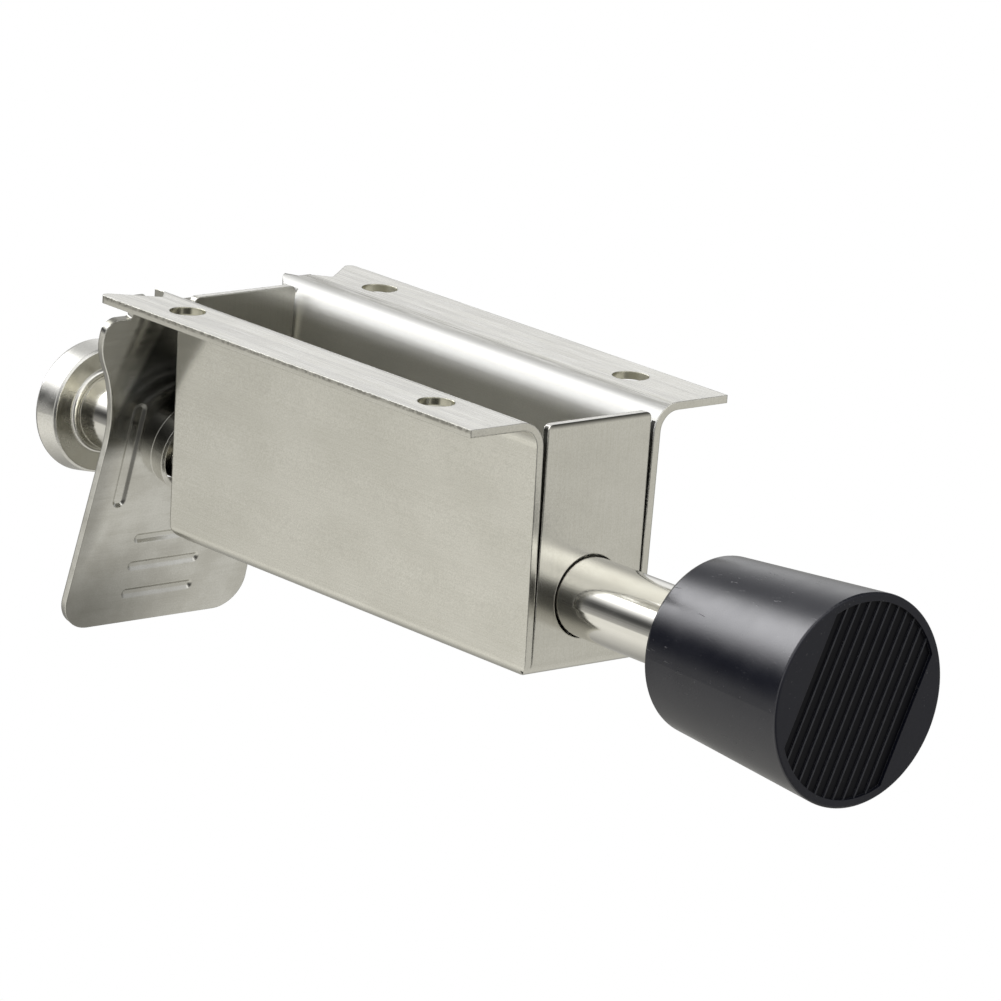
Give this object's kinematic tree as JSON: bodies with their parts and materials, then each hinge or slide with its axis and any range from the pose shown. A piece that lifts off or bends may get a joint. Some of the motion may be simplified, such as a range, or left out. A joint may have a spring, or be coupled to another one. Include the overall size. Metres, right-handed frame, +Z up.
{
  "type": "floor door holder",
  "caption": "Foot-operated plunger door holder: folded steel housing, spring-loaded plunger with rubber foot and knob, canted release plate.",
  "frame": {"origin": "centre of the four screw holes, on the face that lies against the door", "axes": "+Z up along the plunger, towards the knob; +Y into the door; +X to the right for someone facing the door"},
  "size_m": [0.0484, 0.0575, 0.1801],
  "materials": {
    "satin_steel": "satin, fine lengthwise grain",
    "polished_steel": "polished",
    "black_rubber": "semi-gloss moulded",
    "zinc_steel": "zinc plated",
    "dark_spring_steel": "blackened",
    "spring_steel": "drawn wire"
  },
  "bodies": {
    "housing": {"housing": "satin_steel", "return_spring": "spring_steel", "release_spring": "spring_steel"},
    "spring_seat": {"spring_washer": "zinc_steel"},
    "plunger": {"plunger_shaft": "polished_steel", "retaining_ring": "dark_spring_steel", "step_knob": "polished_steel", "rubber_foot": "black_rubber"},
    "release": {"release_plate": "satin_steel"}
  },
  "joints": [
    {"name": "plunger_slide", "type": "slide", "parent": "housing", "child": "spring_seat", "axis": [0, 0, 1], "range_m": [-0.017, 0.027], "stiffness_N_per_m": 300, "springref_m": 0.037, "deforming": ["return_spring"]},
    {"name": "plunger_spin", "type": "hinge", "parent": "spring_seat", "child": "plunger", "pos_m": [0, -0.02735, 0], "axis": [0, 0, 1], "continuous": true},
    {"name": "release_tilt", "type": "hinge", "parent": "housing", "child": "release", "pos_m": [0, -0.0019, 0.0439], "axis": [1, 0, 0], "range_deg": [0, 7.5], "stiffness_Nm_per_rad": 0.66, "springref_deg": -10.89, "deforming": ["release_spring"]}
  ]
}
